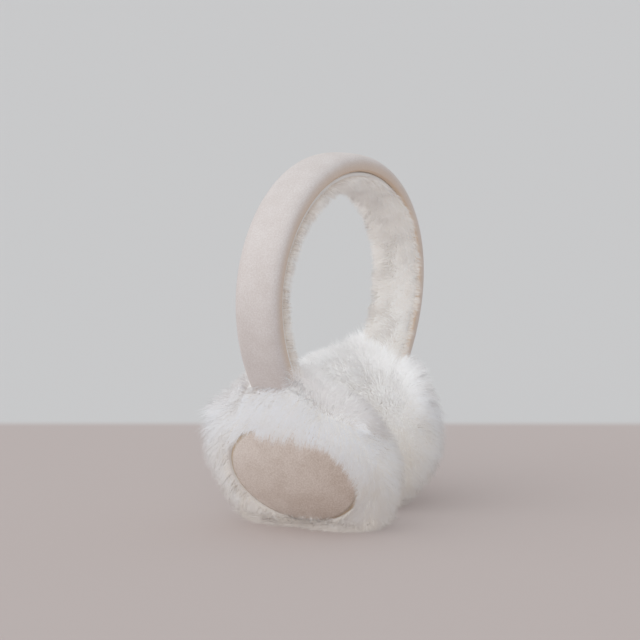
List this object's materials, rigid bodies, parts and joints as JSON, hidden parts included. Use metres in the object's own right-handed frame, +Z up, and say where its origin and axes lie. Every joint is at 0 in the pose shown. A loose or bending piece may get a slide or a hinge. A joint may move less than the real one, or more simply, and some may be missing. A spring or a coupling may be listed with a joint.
{
  "type": "fur earmuffs",
  "caption": "Earmuffs: a padded suede-like headband with a plush lining bends over between two plump fur cups, each with a domed suede oval in its outer face.",
  "frame": {"origin": "on the floor, midway between the two cups and midway fore and aft", "axes": "+Z up from the floor the cups stand on to the crown of the headband; X runs ear to ear, with the wearer's left at +X when they face -Y; Y is fore and aft"},
  "size_m": [0.165, 0.1268, 0.191],
  "materials": {
    "suede": "fine napped faux suede, matt",
    "plush": "short dense plush pile",
    "fur": "deep soft faux fur"
  },
  "bodies": {
    "root": {"headband_cover": "suede", "headband_lining": "plush", "left_cup_fur": "fur", "right_cup_fur": "fur", "left_cup_patch": "suede", "right_cup_patch": "suede"}
  },
  "joints": []
}
